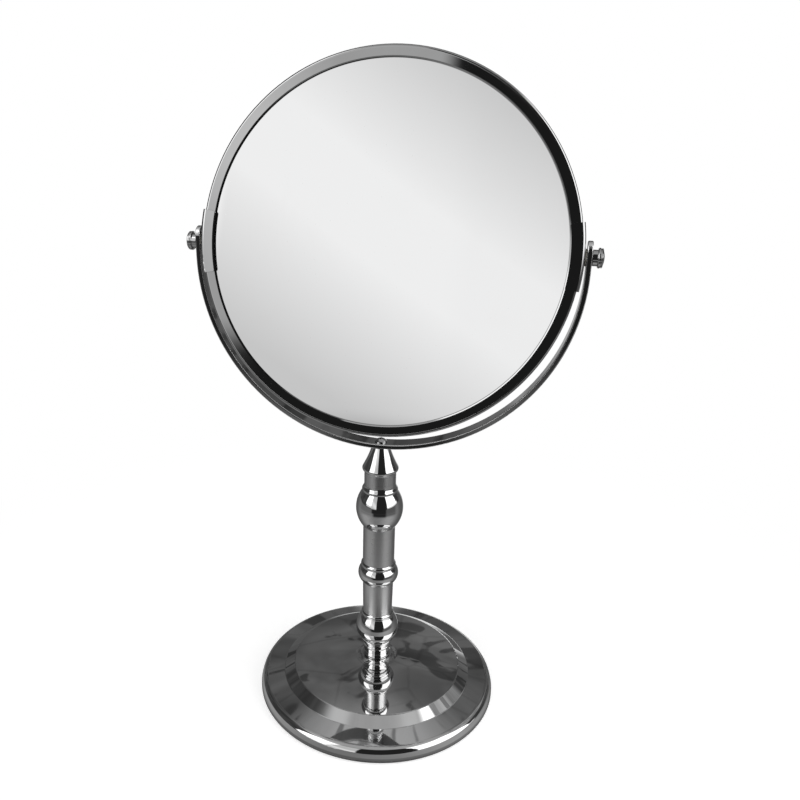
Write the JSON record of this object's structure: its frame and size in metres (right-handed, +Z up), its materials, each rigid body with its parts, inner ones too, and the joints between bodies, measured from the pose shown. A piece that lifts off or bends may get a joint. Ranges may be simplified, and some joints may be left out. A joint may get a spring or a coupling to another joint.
{
  "type": "countertop mirror",
  "caption": "Round framed mirror that tilts in a half-round yoke on a turned column with a weighted round base, standing free on a counter.",
  "frame": {"origin": "centre of the foot's underside, on the counter top", "axes": "+Z up; -Y the front, where the plain glass faces; X along the pivot axis of the mirror head"},
  "size_m": [0.2248, 0.148, 0.3809],
  "materials": {
    "felt": "dark pressed felt, matt",
    "base_chrome": "polished plate on stamped sheet",
    "cast_iron": "rough casting, unpainted",
    "column_chrome": "polished plate on turned metal",
    "satin_chrome": "satin plate with a fine turned grain",
    "zinc_steel": "zinc plated, plain",
    "yoke_chrome": "polished plate on bent strip",
    "fastener_chrome": "polished plate",
    "rim_chrome": "polished plate on rolled sheet",
    "mirror_glass": "plain silvered glass",
    "magnifier_glass": "silvered slumped glass",
    "foam": "closed cell foam, matt",
    "nylon": "natural nylon",
    "knob_chrome": "polished plate on turned metal"
  },
  "bodies": {
    "stand": {"base_pad": "felt", "base_shell": "base_chrome", "base_weight": "cast_iron", "foot_collar": "column_chrome", "lower_bead": "column_chrome", "lower_tube": "satin_chrome", "middle_bead": "column_chrome", "upper_tube": "satin_chrome", "ball_knop": "column_chrome", "neck_sleeve": "satin_chrome", "top_cone": "column_chrome", "tie_rod": "zinc_steel", "tie_rod_washer": "zinc_steel", "tie_rod_nut": "zinc_steel", "yoke": "yoke_chrome", "yoke_screw": "fastener_chrome"},
    "mirror_head": {"upper_rim": "rim_chrome", "lower_rim": "rim_chrome", "front_glass": "mirror_glass", "rear_glass": "magnifier_glass", "glass_spacer": "foam", "right_clamp": "rim_chrome", "left_clamp": "rim_chrome", "pivot_studs": "zinc_steel", "pivot_washers": "nylon"},
    "left_thumb_nut": {"left_knob": "knob_chrome"},
    "right_thumb_nut": {"right_knob": "knob_chrome"}
  },
  "joints": [
    {"name": "head_tilt", "type": "hinge", "parent": "stand", "child": "mirror_head", "pos_m": [0, 0, 0.28], "axis": [1, 0, 0], "continuous": true},
    {"name": "left_nut_turn", "type": "hinge", "parent": "mirror_head", "child": "left_thumb_nut", "pos_m": [-0.109, 0, 0.28], "axis": [-1, 0, 0], "range_deg": [-45, 360]},
    {"name": "right_nut_turn", "type": "hinge", "parent": "mirror_head", "child": "right_thumb_nut", "pos_m": [0.109, 0, 0.28], "axis": [1, 0, 0], "range_deg": [-45, 360]}
  ]
}
